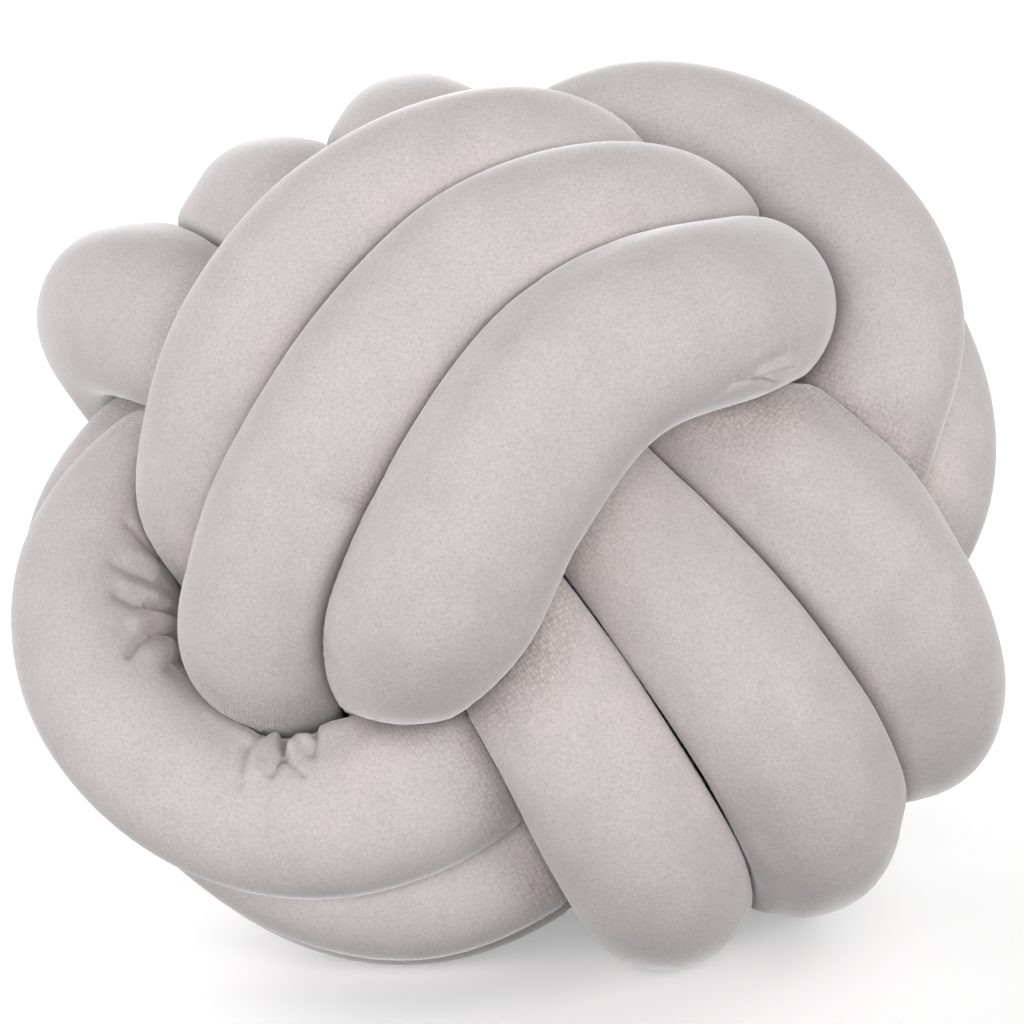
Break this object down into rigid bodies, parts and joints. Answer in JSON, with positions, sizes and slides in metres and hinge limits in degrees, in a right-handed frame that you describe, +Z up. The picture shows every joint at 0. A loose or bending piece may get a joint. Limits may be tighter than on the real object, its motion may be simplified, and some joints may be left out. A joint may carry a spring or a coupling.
{
  "type": "knot cushion",
  "caption": "Round knotted cushion: a stuffed velvet tube wound in crossing bands, tucked into a ball and resting on a slightly flattened underside.",
  "frame": {"origin": "middle of the ball's footprint box on the surface it rests on", "axes": "+Z up; +X and +Y level, with the lower-left to upper-right band of turns facing -Y"},
  "size_m": [0.2768, 0.2837, 0.2479],
  "materials": {
    "velvet_fabric": "short-pile velvet, warm pale grey"
  },
  "bodies": {
    "root": {"knotted_tube": "velvet_fabric"}
  },
  "joints": []
}
